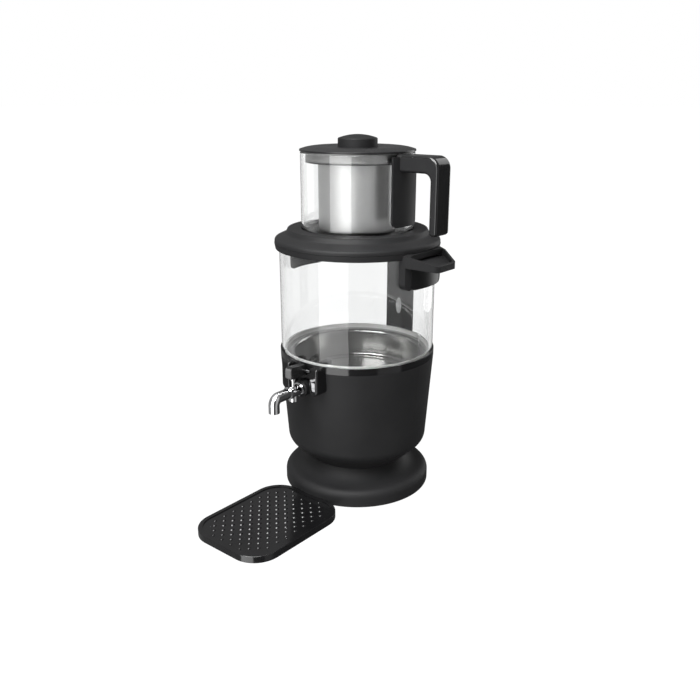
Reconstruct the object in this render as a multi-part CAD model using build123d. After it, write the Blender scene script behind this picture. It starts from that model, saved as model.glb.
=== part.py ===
from build123d import *
import os
from math import cos, radians, sin, tan

# Electric samovar, millimetres. Z is up and zero is the worktop, on the axis of the body.
# The tap and the drip tray point to -Y, the filling spout and the teapot handle to +X.

# Clearances
fixed_gap = 0.1       # round a fixed piece in its hole
running_gap = 0.05    # pin or spool in its bore
lift_gap = 0.3        # pieces that lift or slide apart

# Foot
foot_radius = 87.0
foot_wall = 3.0
foot_edge_gap = 1.0       # foot edge above the worktop
foot_rim_height = 19.5
foot_rim_round = 8.5
flare_width = 7.0         # beyond the neck
flare_rise = 2.3          # above the rim
flare_round = 20.0
neck_radius = 57.0
neck_rise = 14.2          # above the flare
neck_bore = 26.0
pad_radius = 8.0
pad_height = 3.0
pad_inset = 27.0          # from the foot's edge
plate_thickness = 2.0
base_screw_inset = 16.0
base_screw_radius = 1.5
neck_screw_inset = 15.0
neck_screw_radius = 2.0
boss_wall = 3.0
screw_bite = 8.0          # thread length in a boss

# Body and ring
body_radius = 90.0
body_wall = 3.0
housing_height = 126.5    # above the neck
taper = 7.6               # body narrower at the bend than at the top
bend_rise = 21.5          # bend above the neck
bend_round = 16.0
under_margin = 2.0        # underside beyond the neck
under_round = 8.0
ring_height = 7.7
ring_lip = 1.2            # thin upstand outside the glass
ring_ledge = 3.0
ring_ledge_width = 12.5
spigot_depth = 5.5
spigot_wall = 2.6

# Tank
glass_wall = 3.5
glass_height = 122.0
sheet = 1.0               # steel thickness
bowl_inset = 4.0          # inside the ring's ledge
bowl_depth = 33.5
bowl_edge_round = 3.5
bowl_floor_round = 2.5
dome_inset = 21.0         # raised middle of the bowl floor
dome_rise = 1.5
bead_inset = 10.5
bead_width = 4.0
bead_rise = 0.8
gasket_base = 1.5
gasket_wall = 2.2
gasket_rise = 3.5

# Collar, spout and spine
collar_wall = 5.3         # outside the glass
collar_overlap = 3.5      # down the outside of the glass
collar_web = 2.9
collar_lip = 3.2          # inner lip of the glass groove
saddle_proud = 2.7        # outside the collar
saddle_half = 33.0
saddle_height = 32.5      # below the collar's lower edge
saddle_corner = 7.0
insert_half = 26.0
insert_height = 24.0
insert_depth = 3.0
insert_proud = 0.6
insert_corner = 6.0
spout_length = 24.5       # beyond the saddle
spout_tip_half = 17.0
spout_tip_drop = 12.5     # lip below the collar's top
spout_tip_depth = 6.0
spout_wall = 2.6
spout_root_wall = 4.5     # under the trough, at the saddle
throat_half = 24.0
throat_floor = 9.5        # trough floor at the glass, below the collar's top
throat_slot = 2.6         # height of the way into the tank
baffle_half = 30.0
baffle_wall = 2.6
spine_half = 20.5
spine_wall = 3.0

# Tank lid
lid_inset = 0.3           # inside the collar's edge
lid_edge = 4.6
lid_edge_round = 3.2
lid_step_width = 12.5
lid_step_height = 10.4
lid_top_width = 2.5
lid_height = 15.6
seat_depth = 4.2
lid_top_round = 1.2
seat_sheet = 0.8          # steel plate in the seat
seat_plate_margin = 1.5   # inside the pot's radius
lid_steam_hole = 22.0
lid_skirt_depth = 5.0
lid_wall = 3.2
seal_width = 2.0
seal_depth = 1.5

# Teapot
pot_margin = 15.5         # lid's top round the pot
pot_wall = 2.5
pot_floor = 2.4
pot_height = 86.7
pot_heel = 7.0
plate_half = 21.0
plate_depth = 4.5
plate_low = 11.5          # handle plate above the pot's bottom
plate_corner = 6.0
arm_depth = 17.5
arm_half = 12.5
arm_round = 13.0
arm_inner_round = 8.0
grip_out = 50.5           # beyond the pot
grip_depth = 10.0
grip_low = 6.0
grip_round = 4.5
trim_depth = 2.2
handle_edge_round = 3.0
plate_edge_round = 3.0

# Infuser and teapot lid
basket_inset = 13.8       # inside the ring's band
basket_floor_gap = 0.6
basket_flange = 3.0
basket_hole_radius = 1.0
basket_hole_pitch = 9.0
ring_band_gap = 3.2       # to the pot's inside
ring_band_drop = 9.5
ring_flange_gap = 0.5     # flange edge inside the pot's outside
band_seal_width = 3.0
band_seal_height = 1.0
tab_width = 12.0
tab_height = 5.0
tab_turn = 35.0           # degrees from the tap towards the spout
pot_lid_overhang = 0.9
pot_lid_edge = 2.0
pot_lid_rise = 2.2
pot_lid_crown = 1.3       # crown ring above the knob's seat
pot_lid_crown_inset = 11.0
pot_lid_wall = 2.4
pot_lid_skirt = 5.0
knob_radius = 21.8
knob_height = 9.2
knob_dome = 4.0
knob_screw_radius = 2.0

# Heater and electrics
heater_inset = 3.5        # inside the dome
heater_thickness = 5.0
element_inset = 13.0
element_width = 8.0
element_depth = 7.0
element_arc = 300.0
terminal_radius = 1.6
terminal_length = 12.0
thermostat_radius = 8.5
thermostat_height = 9.0
fuse_size = (16.0, 8.0, 6.0)
fuse_gap = 0.4            # outside the element
block_size = (36.0, 14.0, 14.0)
block_inset = 20.0        # inside the neck's radius
wire_radius = 1.4
wire_bend = 9.0
wire_lead = 13.75         # straight below a heater terminal
inlet_rise = 26.5         # above the bend
inlet_size = (30.0, 22.0)
inlet_depth = 22.0
inlet_flange = 3.0
inlet_flange_depth = 3.0
inlet_wall = 2.0
inlet_floor = 3.0
pin_radius = 2.0
pin_length = 15.0
pin_spread = 6.5          # each side of the middle
pin_shank_radius = 2.6    # in the inlet's floor
pin_groove = 1.0          # relief between shank and pin
pin_groove_radius = 1.6

# Tap bracket, lever and switch
tap_drop = 19.5           # below the housing's top
lobe_out = 11.0           # beyond the body
lobe_place = 20.3         # from the tap's plane to the middle of a lobe
lobe_half = 5.9
lobe_drop = 23.5
bridge_out = 3.0
bridge_drop = 9.0
lobe_edge_round = 2.2
lever_slot_half = 5.5
lever_half = 4.0
lever_nose = 7.5          # beyond the stem
lever_rise = 7.5          # above its pin
lever_pin_inset = 4.0     # behind the lobes' front
lever_pin_drop = 5.2      # below the ring's top
lever_pin_radius = 1.5
lever_hub_radius = 6.0
lever_round = 2.0
pin_seat = 6.0            # length of the pin in each lobe
bracket_screw_radius = 1.5
bracket_screw_rise = 5.0  # above the lobes' low end
bracket_screw_bite = 5.0
rocker_width = 5.0
rocker_height = 10.5
rocker_depth = 4.0
rocker_rise = 10.5        # above the lobes' low end
rocker_tilt = 7.0         # at rest, off
rocker_hub_radius = 2.2
rocker_pin_radius = 0.8
pocket_depth = 7.5
wire_hole_radius = 2.0
wire_hole_rise = 1.5      # above the rocker's middle

# Tap
tail_radius = 5.0
tail_inside = 13.5        # inside the bowl's wall
flow_radius = 1.7
nut_length = 9.0
valve_length = 13.4
valve_radius = 6.5
stem_offset = 8.0         # from the valve's rear end
boss_radius = 5.2
boss_drop = 10.5
boss_rise = 7.0
chamber_radius = 3.5
boss_floor = 1.5
boss_roof = 2.0
stem_radius = 2.0
stem_cap_radius = 2.7
stem_cap_height = 3.0
land_height = 4.6
spring_radius = 2.9
spring_wire = 0.7
nut_radius = 9.5
thin_ring_radius = 7.8
thin_ring_width = 3.0
union_radius = 7.2
union_width = 3.2
spout_tube_radius = 6.0
spout_tube_bore = 4.5
spigot_length = 5.0
spout_run = 24.6          # from the valve to the nozzle
nozzle_drop = 15.5        # below the tap's axis
elbow_round = 7.2
insert_length = 3.0
insert_hole_radius = 0.9
insert_hole_circle = 2.7
washer_radius = 6.8
washer_width = 2.6
lock_nut_radius = 7.6
lock_nut_width = 5.0
strainer_radius = 6.8
strainer_length = 16.0
strainer_slots = 6
strainer_slot_width = 1.6
probe_length = 26.0
probe_width = 7.0
probe_depth = 5.0
probe_drop = 2.0          # top of the arm below the bowl's rim
probe_foot_width = 12.0
probe_foot_depth = 9.0
probe_foot_wall = 3.0
probe_pin_radius = 2.2
probe_pin_length = 8.5
probe_pin_head = 1.6

# Drip tray
tray_half = 54.0
tray_length = 140.0
tray_tuck = 2.0           # under the foot's edge line
tray_corner = 30.0
tray_height = 7.6
tray_rim = 5.0
tray_recess = 1.0
tray_gap = 0.6            # to the foot
tray_edge_round = 0.8
stud_pitch = 6.8          # between the staggered rows
stud_radius = 2.9
stud_small_radius = 1.7
stud_rise = 1.5
stud_margin = 1.2
stud_fade = 26.0          # width of the border where the studs shrink

# Derived heights
plate_top = pad_height + plate_thickness
flare_height = foot_rim_height + flare_rise
neck_height = flare_height + neck_rise
bend_height = neck_height + bend_rise
housing_top = neck_height + housing_height
ring_top = housing_top + ring_height
flange_low = housing_top + ring_ledge
flange_top = flange_low + sheet
bowl_floor = flange_top - bowl_depth
dome_top = bowl_floor + dome_rise
dome_under = dome_top - sheet
glass_low = flange_top + gasket_base
glass_top = glass_low + glass_height
collar_low = glass_top - collar_overlap
collar_top = glass_top + collar_web
lid_low = collar_top
lid_top = lid_low + lid_height
seat_height = lid_top - seat_depth - seat_sheet
pot_low = seat_height + seat_sheet
pot_top = pot_low + pot_height
band_top = pot_top + sheet
band_low = pot_top - ring_band_drop
pot_lid_low = band_top
pot_lid_top = pot_lid_low + pot_lid_edge + pot_lid_rise
knob_low = pot_lid_top
heater_low = dome_under - heater_thickness
housing_floor = neck_height + body_wall
inlet_height = bend_height + inlet_rise
tap_height = housing_top - tap_drop
lobe_low = housing_top - lobe_drop
bridge_low = housing_top - bridge_drop
lever_pin_height = ring_top - lever_pin_drop
lever_low = lever_pin_height - lever_hub_radius
lever_high = lever_pin_height + lever_rise
bracket_screw_height = lobe_low + bracket_screw_rise
rocker_middle = lobe_low + rocker_rise
wire_hole_height = rocker_middle + wire_hole_rise
boss_low = tap_height - boss_drop
boss_high = tap_height + boss_rise
chamber_low = boss_low + boss_floor
chamber_high = boss_high - boss_roof
nozzle_low = tap_height - nozzle_drop
spout_root_depth = throat_floor + spout_root_wall
tray_floor = tray_height - tray_recess

# Derived radii and reaches
flare_radius = neck_radius + flare_width
under_radius = neck_radius + under_margin
neck_screw_circle = neck_radius - neck_screw_inset
block_place = neck_radius - block_inset
base_screw_circle = foot_radius - base_screw_inset
pad_circle = foot_radius - pad_inset
tray_back = foot_radius - tray_tuck
tray_front = tray_back + tray_length
bend_radius = body_radius - taper
ring_ledge_radius = body_radius - ring_ledge_width
lip_radius = body_radius - ring_lip
glass_radius = lip_radius - lift_gap
glass_bore = glass_radius - glass_wall
bowl_radius = ring_ledge_radius - bowl_inset
dome_radius = bowl_radius - dome_inset
bead_radius = bowl_radius - bead_inset
heater_radius = dome_radius - heater_inset
element_radius = heater_radius - element_inset
collar_radius = glass_radius + collar_wall
collar_bore = glass_bore - lift_gap - collar_lip
saddle_radius = collar_radius + saddle_proud
spout_reach = saddle_radius + spout_length
lid_radius = collar_radius - lid_inset
lid_step_radius = lid_radius - lid_step_width
lid_top_radius = lid_step_radius - lid_top_width
lid_skirt_radius = collar_bore - lift_gap
pot_radius = lid_top_radius - pot_margin
pot_bore = pot_radius - pot_wall
ring_band_radius = pot_bore - ring_band_gap
basket_radius = ring_band_radius - basket_inset
pot_lid_radius = pot_radius + pot_lid_overhang
pot_lid_crown_radius = pot_lid_radius - pot_lid_crown_inset
grip_reach = pot_radius + grip_out
trim_inside = grip_reach - trim_depth
lobe_front = body_radius + lobe_out
bridge_front = body_radius + bridge_out
lever_pin_reach = lobe_front - lever_pin_inset
tail_end = bowl_radius - tail_inside
body_start = body_radius + nut_length + thin_ring_width
body_end = body_start + valve_length
stem_reach = body_start + stem_offset
lever_reach = stem_reach + lever_nose
nozzle_reach = body_end + spout_run


def corner_cut(before, corner, after):
    radius = corner[2] if len(corner) > 2 else 0
    here = Vector(*corner[:2])
    back = Vector(*before[:2]) - here
    ahead = Vector(*after[:2]) - here
    return radius / tan(radians(back.get_angle(ahead)) / 2)


def corner_arc(before, corner, after, cut):
    here = Vector(*corner[:2])
    if not cut:
        return here, None, here
    back = (Vector(*before[:2]) - here).normalized()
    ahead = (Vector(*after[:2]) - here).normalized()
    half = radians(back.get_angle(ahead)) / 2
    radius = cut * tan(half)
    middle = here + (back + ahead).normalized() * (radius / sin(half) - radius)
    return here + back * cut, middle, here + ahead * cut


def rounded_face(corners):
    count = len(corners)
    befores = [corners[i - 1] for i in range(count)]
    afters = [corners[(i + 1) % count] for i in range(count)]
    cuts = [corner_cut(*three) for three in zip(befores, corners, afters)]
    rooms = []
    for i in range(count):
        run = (Vector(*afters[i][:2]) - Vector(*corners[i][:2])).length
        taken = cuts[i] + cuts[(i + 1) % count]
        rooms.append(run / taken if taken > run else 1)
    arcs = []
    for i in range(count):
        arcs.append(corner_arc(befores[i], corners[i], afters[i], cuts[i] * min(rooms[i - 1], rooms[i])))
    edges = []
    for i, (start, middle, end) in enumerate(arcs):
        if middle:
            edges.append(ThreePointArc(start, middle, end))
        following = arcs[(i + 1) % count][0]
        if (following - end).length > 0.001:
            edges.append(Line(end, following))
    return make_face(edges)


def lathe(corners, arc=360):
    return revolve(Plane.XZ * rounded_face(corners), Axis.Z, arc)


def post(radius, low, high, x=0, y=0):
    return Pos(x, y, (low + high) / 2) * Cylinder(radius, high - low)


def tube(inner, outer, low, high):
    return post(outer, low, high) - post(inner, low, high)


def rod_front(radius, start, end, x=0, z=0):
    return Pos(x, -(start + end) / 2, z) * Rot(90, 0, 0) * Cylinder(radius, end - start)


def rod_back(radius, start, end, x=0, z=0):
    return rod_front(radius, -end, -start, x, z)


def rod_across(radius, left, right, y, z):
    return Pos((left + right) / 2, y, z) * Rot(0, 90, 0) * Cylinder(radius, right - left)


def block(x_span, y_span, z_span):
    spans = (x_span, y_span, z_span)
    middle = [(low + high) / 2 for low, high in spans]
    return Pos(*middle) * Box(*[high - low for low, high in spans])


def curved_plate(inner, outer, half, low, high, facing=0, corner=0, top_corner=0):
    outline = [(-half, low, corner), (half, low, corner), (half, high, top_corner), (-half, high, top_corner)]
    slab = extrude(Plane.YZ * rounded_face(outline), outer + 1)
    return Rot(0, 0, facing) * (tube(inner, outer, low, high) & slab)


def around(circle, count, start=0):
    turns = [radians(start + 360 * i / count) for i in range(count)]
    return [(circle * cos(turn), circle * sin(turn)) for turn in turns]


def group(solids):
    return Compound(children=list(solids))


# Foot
def foot_core():
    return lathe([
        (0, foot_edge_gap),
        (foot_radius, foot_edge_gap, foot_wall / 2),
        (foot_radius, foot_rim_height, foot_rim_round),
        (flare_radius, flare_height, flare_round),
        (neck_radius, neck_height),
        (0, neck_height),
    ])


def make_pedestal_base():
    inner_rim = foot_rim_height - foot_wall
    shell = lathe([
        (foot_radius, foot_edge_gap, foot_wall / 2),
        (foot_radius, foot_rim_height, foot_rim_round),
        (flare_radius, flare_height, flare_round),
        (neck_radius, neck_height),
        (neck_bore, neck_height),
        (neck_bore, neck_height - foot_wall),
        (neck_radius - foot_wall, neck_height - foot_wall, foot_wall),
        (flare_radius - foot_wall, flare_height - foot_wall, flare_round - foot_wall),
        (foot_radius - foot_wall, inner_rim, foot_rim_round - foot_wall),
        (foot_radius - foot_wall, foot_edge_gap),
    ])
    core = foot_core()
    for x, y in around(base_screw_circle, 4):
        shell += post(base_screw_radius + boss_wall, plate_top, neck_height, x, y) & core
    for x, y in around(base_screw_circle, 4):
        shell -= post(base_screw_radius + running_gap, plate_top, plate_top + screw_bite, x, y)
    for x, y in around(neck_screw_circle, 4, 45):
        hole_low = neck_height - foot_wall
        shell -= post(neck_screw_radius + fixed_gap, hole_low, neck_height, x, y)
    return shell


def make_base_plate():
    plate = post(foot_radius - foot_wall - fixed_gap, pad_height, plate_top)
    for x, y in around(base_screw_circle, 4):
        plate -= post(base_screw_radius + fixed_gap, pad_height, plate_top, x, y)
    return plate


def make_rubber_feet():
    edge = pad_height / 5
    foot = lathe([(0, 0), (pad_radius, 0, edge), (pad_radius, pad_height), (0, pad_height)])
    return group(Pos(x, y, 0) * foot for x, y in around(pad_circle, 4, 45))


def screw_up(radius, seat, length):
    head = post(radius * 2, seat - radius * 1.2, seat)
    return head + post(radius, seat, seat + length)


def make_base_screws():
    screw = screw_up(base_screw_radius, pad_height, plate_thickness + screw_bite - fixed_gap)
    return group(Pos(x, y, 0) * screw for x, y in around(base_screw_circle, 4))


def make_neck_screws():
    length = foot_wall + body_wall + screw_bite - fixed_gap
    screw = screw_up(neck_screw_radius, neck_height - foot_wall, length)
    return group(Pos(x, y, 0) * screw for x, y in around(neck_screw_circle, 4, 45))


# Body
def body_core(grow=0.0):
    return lathe([
        (0, neck_height),
        (under_radius + grow, neck_height, under_round),
        (bend_radius + grow, bend_height, bend_round),
        (body_radius + grow, housing_top),
        (body_radius + grow, ring_top + collar_overlap),
        (0, ring_top + collar_overlap),
    ])


def housing_outside(height):
    share = (height - bend_height) / (housing_top - bend_height)
    return bend_radius + (body_radius - bend_radius) * share


def housing_inside(height):
    low = bend_height + body_wall / 2
    share = (height - low) / (housing_top - low)
    return bend_radius - body_wall + (body_radius - bend_radius) * share


def make_lower_housing():
    shell = lathe([
        (neck_bore, neck_height),
        (under_radius, neck_height, under_round),
        (bend_radius, bend_height, bend_round),
        (body_radius, housing_top),
        (body_radius - body_wall, housing_top),
        (bend_radius - body_wall, bend_height + body_wall / 2, bend_round - body_wall),
        (under_radius - body_wall / 2, housing_floor, under_round - body_wall),
        (neck_bore, housing_floor),
    ])
    for x, y in around(neck_screw_circle, 4, 45):
        shell += post(neck_screw_radius + boss_wall, neck_height, housing_floor + screw_bite, x, y)
    for x, y in around(neck_screw_circle, 4, 45):
        hole_top = housing_floor + screw_bite
        shell -= post(neck_screw_radius + running_gap, neck_height, hole_top, x, y)
    reach = body_radius + body_wall
    seat_radius = bracket_screw_radius * 2 + fixed_gap * 10
    for x in (-lobe_place, lobe_place):
        pad = rod_front(seat_radius, bracket_screw_seat(), reach, x, bracket_screw_height)
        shell += pad & body_core()
        shell -= rod_front(bracket_screw_radius + fixed_gap, 0, reach, x, bracket_screw_height)
    shell -= rod_front(tail_radius + lift_gap, 0, reach, 0, tap_height)
    shell -= rod_front(wire_hole_radius, 0, reach, lobe_place, wire_hole_height)
    half = inlet_size[0] / 2 + fixed_gap
    rise = inlet_size[1] / 2 + fixed_gap
    shell -= block((-half, half), (0, body_radius), (inlet_height - rise, inlet_height + rise))
    return shell


def make_trim_ring():
    spigot_outside = housing_inside(housing_top - spigot_depth) - fixed_gap
    spigot_inside = spigot_outside - spigot_wall
    return lathe([
        (body_radius, housing_top),
        (body_radius, ring_top, ring_lip / 3),
        (lip_radius, ring_top),
        (lip_radius, flange_low),
        (ring_ledge_radius, flange_low),
        (ring_ledge_radius, housing_top),
        (spigot_inside, housing_top),
        (spigot_inside, housing_top - spigot_depth),
        (spigot_outside, housing_top - spigot_depth),
        (spigot_outside, housing_top),
    ])


# Tank
def make_steel_bowl():
    outside = bowl_radius + sheet
    bead_half = bead_width / 2
    bowl = lathe([
        (glass_radius, flange_low),
        (glass_radius, flange_top),
        (bowl_radius, flange_top, bowl_edge_round),
        (bowl_radius, bowl_floor, bowl_floor_round),
        (bead_radius + bead_half, bowl_floor),
        (bead_radius + bead_half - bead_rise, bowl_floor + bead_rise),
        (bead_radius - bead_half + bead_rise, bowl_floor + bead_rise),
        (bead_radius - bead_half, bowl_floor),
        (dome_radius + dome_rise, bowl_floor),
        (dome_radius, dome_top),
        (0, dome_top),
        (0, dome_under),
        (dome_radius, dome_under),
        (dome_radius + dome_rise, bowl_floor - sheet),
        (outside, bowl_floor - sheet, bowl_floor_round + sheet),
        (outside, flange_low, bowl_edge_round - sheet),
    ])
    return bowl - rod_front(tail_radius + fixed_gap, dome_radius, outside + sheet, 0, tap_height)


def make_tank_gasket():
    wall_outside = glass_bore - fixed_gap
    wall_inside = wall_outside - gasket_wall
    return lathe([
        (glass_radius, flange_top),
        (glass_radius, glass_low),
        (wall_outside, glass_low),
        (wall_outside, glass_low + gasket_rise, gasket_wall / 3),
        (wall_inside, glass_low + gasket_rise, gasket_wall / 3),
        (wall_inside, flange_top),
    ])


def make_glass_tank():
    glass = tube(glass_bore, glass_radius, glass_low, glass_top)
    half = throat_half + spout_wall + lift_gap
    notch_low = collar_top - throat_floor - spout_wall - lift_gap
    return glass - block((0, collar_radius), (-half, half), (notch_low, glass_top))


def spout_plan(root, inset):
    half = saddle_half - inset
    tip_half = spout_tip_half - inset
    tip_round = tip_half / 2
    reach = spout_reach - inset
    return [
        (root, -half),
        (saddle_radius, -half),
        (reach, -tip_half, tip_round),
        (reach, tip_half, tip_round),
        (saddle_radius, half),
        (root, half),
    ]


def spout_prism(plan, side):
    standing = extrude(rounded_face(plan), lid_top)
    across = extrude(Plane.XZ * rounded_face(side), spout_reach, both=True)
    return standing & across


def make_glass_collar():
    groove_inside = glass_bore - lift_gap
    groove_outside = glass_radius + lift_gap
    collar = lathe([
        (collar_radius - collar_overlap / 3, collar_low, collar_overlap / 4),
        (collar_radius, collar_top),
        (collar_bore, collar_top),
        (collar_bore, collar_low),
        (groove_inside, collar_low),
        (groove_inside, glass_top),
        (groove_outside, glass_top),
        (groove_outside, collar_low),
    ])
    saddle_low = collar_low - saddle_height
    saddle_top = collar_top - collar_web / 2
    collar += curved_plate(groove_outside + fixed_gap, saddle_radius, saddle_half, saddle_low, saddle_top,
                           0, saddle_corner)
    tip_top = collar_top - spout_tip_drop
    tip_low = tip_top - spout_tip_depth
    root_low = collar_top - spout_root_depth
    beak_side = [
        (glass_bore, root_low),
        (saddle_radius, root_low, saddle_corner),
        (spout_reach + spout_wall, tip_low),
        (spout_reach + spout_wall, tip_top),
        (lid_radius - lid_edge, collar_top - fixed_gap),
        (glass_bore, collar_top - fixed_gap),
    ]
    collar += spout_prism(spout_plan(groove_outside + 1, 0), beak_side)
    throat_low = collar_top - throat_floor
    throat_x = (collar_bore + lift_gap, saddle_radius - spout_wall / 2)
    throat_y = (-throat_half - spout_wall, throat_half + spout_wall)
    collar += block(throat_x, throat_y, (throat_low - spout_wall, collar_top - collar_web / 3))
    trough_root = collar_radius + spout_wall / 4
    trough_top = collar_top + spout_wall
    trough_side = [
        (trough_root - spout_wall, throat_low),
        (saddle_radius, throat_low),
        (spout_reach, tip_low + spout_wall),
        (spout_reach, trough_top),
        (trough_root - spout_wall, trough_top),
    ]
    collar -= spout_prism(spout_plan(trough_root, spout_wall), trough_side)
    way_x = (collar_bore - lift_gap, trough_root + spout_wall / 2)
    collar -= block(way_x, (-throat_half, throat_half), (throat_low, throat_low + throat_slot))
    recess = curved_plate(saddle_radius - insert_depth, saddle_radius + insert_depth, insert_half,
                          saddle_low - spout_wall, saddle_low + insert_height, 0, 0, insert_corner)
    return collar - recess


def make_spout_insert():
    low = collar_low - saddle_height
    outside = saddle_radius + insert_proud
    inside = saddle_radius - insert_depth + running_gap
    high = low + insert_height - fixed_gap
    half = insert_half - fixed_gap
    return curved_plate(inside, outside, half, low, high, 0, insert_corner, insert_corner)


def make_steam_baffle():
    outside = glass_bore - lift_gap
    low = collar_low - saddle_height
    inside = outside - baffle_wall
    return curved_plate(inside, outside, baffle_half, low, collar_low, 180, saddle_corner)


def make_rear_spine():
    inside = glass_radius + lift_gap
    return curved_plate(inside, inside + spine_wall, spine_half, ring_top, collar_low, 90)


# Tank lid
def make_tank_lid():
    skirt_inside = lid_skirt_radius - lid_wall
    skirt_low = lid_low - lid_skirt_depth
    edge_top = lid_low + lid_edge
    under = seat_height - lid_wall
    lid = lathe([
        (lid_radius, lid_low, lid_edge / 8),
        (lid_radius, edge_top, lid_edge_round),
        (lid_step_radius, lid_low + lid_step_height, lid_edge_round),
        (lid_top_radius, lid_top, lid_top_round),
        (pot_radius + lift_gap, lid_top),
        (pot_radius + lift_gap, seat_height),
        (lid_steam_hole, seat_height),
        (lid_steam_hole, under),
        (skirt_inside - lid_wall, under, lid_wall),
        (skirt_inside, lid_low + lid_wall),
        (skirt_inside, skirt_low),
        (lid_skirt_radius, skirt_low),
        (lid_skirt_radius, lid_low),
    ])
    seal_low = lid_low - lid_skirt_depth + seal_width / 2
    seal_high = seal_low + seal_width
    return lid - tube(lid_skirt_radius - seal_depth, lid_skirt_radius + 1, seal_low, seal_high)


def make_seat_plate():
    return tube(lid_steam_hole, pot_radius - seat_plate_margin, seat_height, pot_low)


def make_lid_seal():
    low = lid_low - lid_skirt_depth + seal_width / 2
    inside = lid_skirt_radius - seal_depth + running_gap
    return tube(inside, lid_skirt_radius, low, low + seal_width)


# Teapot
def make_teapot_glass():
    return lathe([
        (0, pot_low),
        (pot_radius, pot_low, pot_heel),
        (pot_radius, pot_top, pot_wall / 3),
        (pot_bore, pot_top, pot_wall / 3),
        (pot_bore, pot_low + pot_floor, pot_heel - pot_wall),
        (0, pot_low + pot_floor),
    ])


def handle_form():
    arm_low = pot_top - arm_depth
    grip_inside = grip_reach - grip_depth
    low = pot_low + grip_low
    outline = [
        (0, pot_top),
        (grip_reach, pot_top, arm_round),
        (grip_reach, low, grip_round),
        (grip_inside, low, grip_round),
        (grip_inside, arm_low, arm_inner_round),
        (0, arm_low),
    ]
    form = extrude(Plane.XZ * rounded_face(outline), arm_half, both=True)
    sides = form.faces().sort_by(Axis.Y)
    form = fillet(sides[0].edges() + sides[-1].edges(), handle_edge_round)
    return form - post(pot_radius + running_gap, pot_low - 1, pot_top + 1)


def trim_region():
    core_top = pot_top - trim_depth
    start = pot_radius + plate_depth
    corners = [
        (start, pot_top + 1),
        (grip_reach + 1, pot_top + 1),
        (grip_reach + 1, pot_low),
        (trim_inside, pot_low),
        (trim_inside, core_top, arm_round - trim_depth),
        (start, core_top),
    ]
    return extrude(Plane.XZ * rounded_face(corners), arm_half + 1, both=True)


def make_teapot_handle():
    plate = curved_plate(pot_radius + running_gap, pot_radius + plate_depth, plate_half, pot_low + plate_low,
                         pot_top - trim_depth, 0, plate_corner)
    outside = plate.faces().filter_by(GeomType.CYLINDER).sort_by(SortBy.AREA)[-1]
    plate = fillet(outside.edges(), plate_edge_round)
    return handle_form() - trim_region() + plate


def make_handle_trim():
    return handle_form() & trim_region()


# Infuser
def make_infuser_basket():
    low = pot_low + pot_floor + basket_floor_gap
    inside = basket_radius - sheet
    rim = band_low + sheet
    basket = lathe([
        (0, low),
        (basket_radius, low, sheet * 3),
        (basket_radius, rim),
        (basket_radius + basket_flange, rim),
        (basket_radius + basket_flange, rim + sheet),
        (inside, rim + sheet),
        (inside, low + sheet, sheet * 2),
        (0, low + sheet),
    ])
    steps = range(-4, 5)
    spots = [(i * basket_hole_pitch, j * basket_hole_pitch) for i in steps for j in steps]
    limit = (inside - basket_hole_pitch / 2) ** 2
    holes = [
        post(basket_hole_radius, low - 1, low + 2 * sheet, x, y)
        for x, y in spots if x * x + y * y < limit
    ]
    return basket - holes


def make_infuser_collar():
    inside = ring_band_radius - sheet
    hole = basket_radius + fixed_gap
    flange = pot_radius - ring_flange_gap
    band = lathe([
        (hole, band_low),
        (ring_band_radius, band_low, sheet),
        (ring_band_radius, pot_top),
        (flange, pot_top),
        (flange, band_top),
        (inside, band_top),
        (inside, band_low + sheet),
        (hole, band_low + sheet),
    ])
    tab = curved_plate(ring_band_radius - sheet / 2, ring_band_radius + sheet, tab_width / 2,
                       pot_top - tab_height, pot_top, tab_turn - 90)
    return band + tab


def make_infuser_seal():
    return tube(ring_band_radius - band_seal_width, ring_band_radius, band_low - band_seal_height, band_low)


# Teapot lid
def make_teapot_lid():
    skirt_outside = ring_band_radius - sheet - lift_gap
    skirt_inside = skirt_outside - pot_lid_wall
    edge_top = pot_lid_low + pot_lid_edge
    under = pot_lid_top - pot_lid_wall
    lid = lathe([
        (pot_lid_radius, pot_lid_low, pot_lid_edge / 4),
        (pot_lid_radius, edge_top, pot_lid_edge / 3),
        (pot_lid_crown_radius, pot_lid_top + pot_lid_crown, pot_lid_crown_radius),
        (knob_radius + pot_lid_crown * 2, pot_lid_top),
        (0, pot_lid_top),
        (0, under),
        (knob_radius, under),
        (skirt_inside, edge_top - pot_lid_wall),
        (skirt_inside, pot_lid_low - pot_lid_skirt),
        (skirt_outside, pot_lid_low - pot_lid_skirt),
        (skirt_outside, pot_lid_low),
    ])
    groove_low = pot_lid_low - pot_lid_skirt + seal_width / 2
    groove = tube(skirt_outside - seal_depth, skirt_outside + 1, groove_low, groove_low + seal_width)
    return lid - groove - post(knob_screw_radius + fixed_gap, under - 1, pot_lid_top + 1)


def make_teapot_lid_gasket():
    skirt_outside = ring_band_radius - sheet - lift_gap
    low = pot_lid_low - pot_lid_skirt + seal_width / 2
    return tube(skirt_outside - seal_depth + running_gap, skirt_outside, low, low + seal_width)


def make_lid_knob():
    high = knob_low + knob_height
    ball_radius = (knob_radius ** 2 + knob_dome ** 2) / (2 * knob_dome)
    ball = Pos(0, 0, high + knob_dome - ball_radius) * Sphere(ball_radius)
    knob = post(knob_radius, knob_low, high + knob_dome) & ball
    rims = knob.edges().filter_by(GeomType.CIRCLE).filter_by(lambda edge: abs(edge.radius - knob_radius) < 0.1)
    knob = fillet(rims.sort_by(Axis.Z)[-1], knob_height / 6)
    return knob - post(knob_screw_radius + running_gap, knob_low, knob_low + knob_height)


def make_knob_screw():
    seat = pot_lid_top - pot_lid_wall
    return screw_up(knob_screw_radius, seat, pot_lid_wall + knob_height - fixed_gap)


# Heater and electrics
def make_heater_plate():
    return post(heater_radius, heater_low, dome_under)


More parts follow.
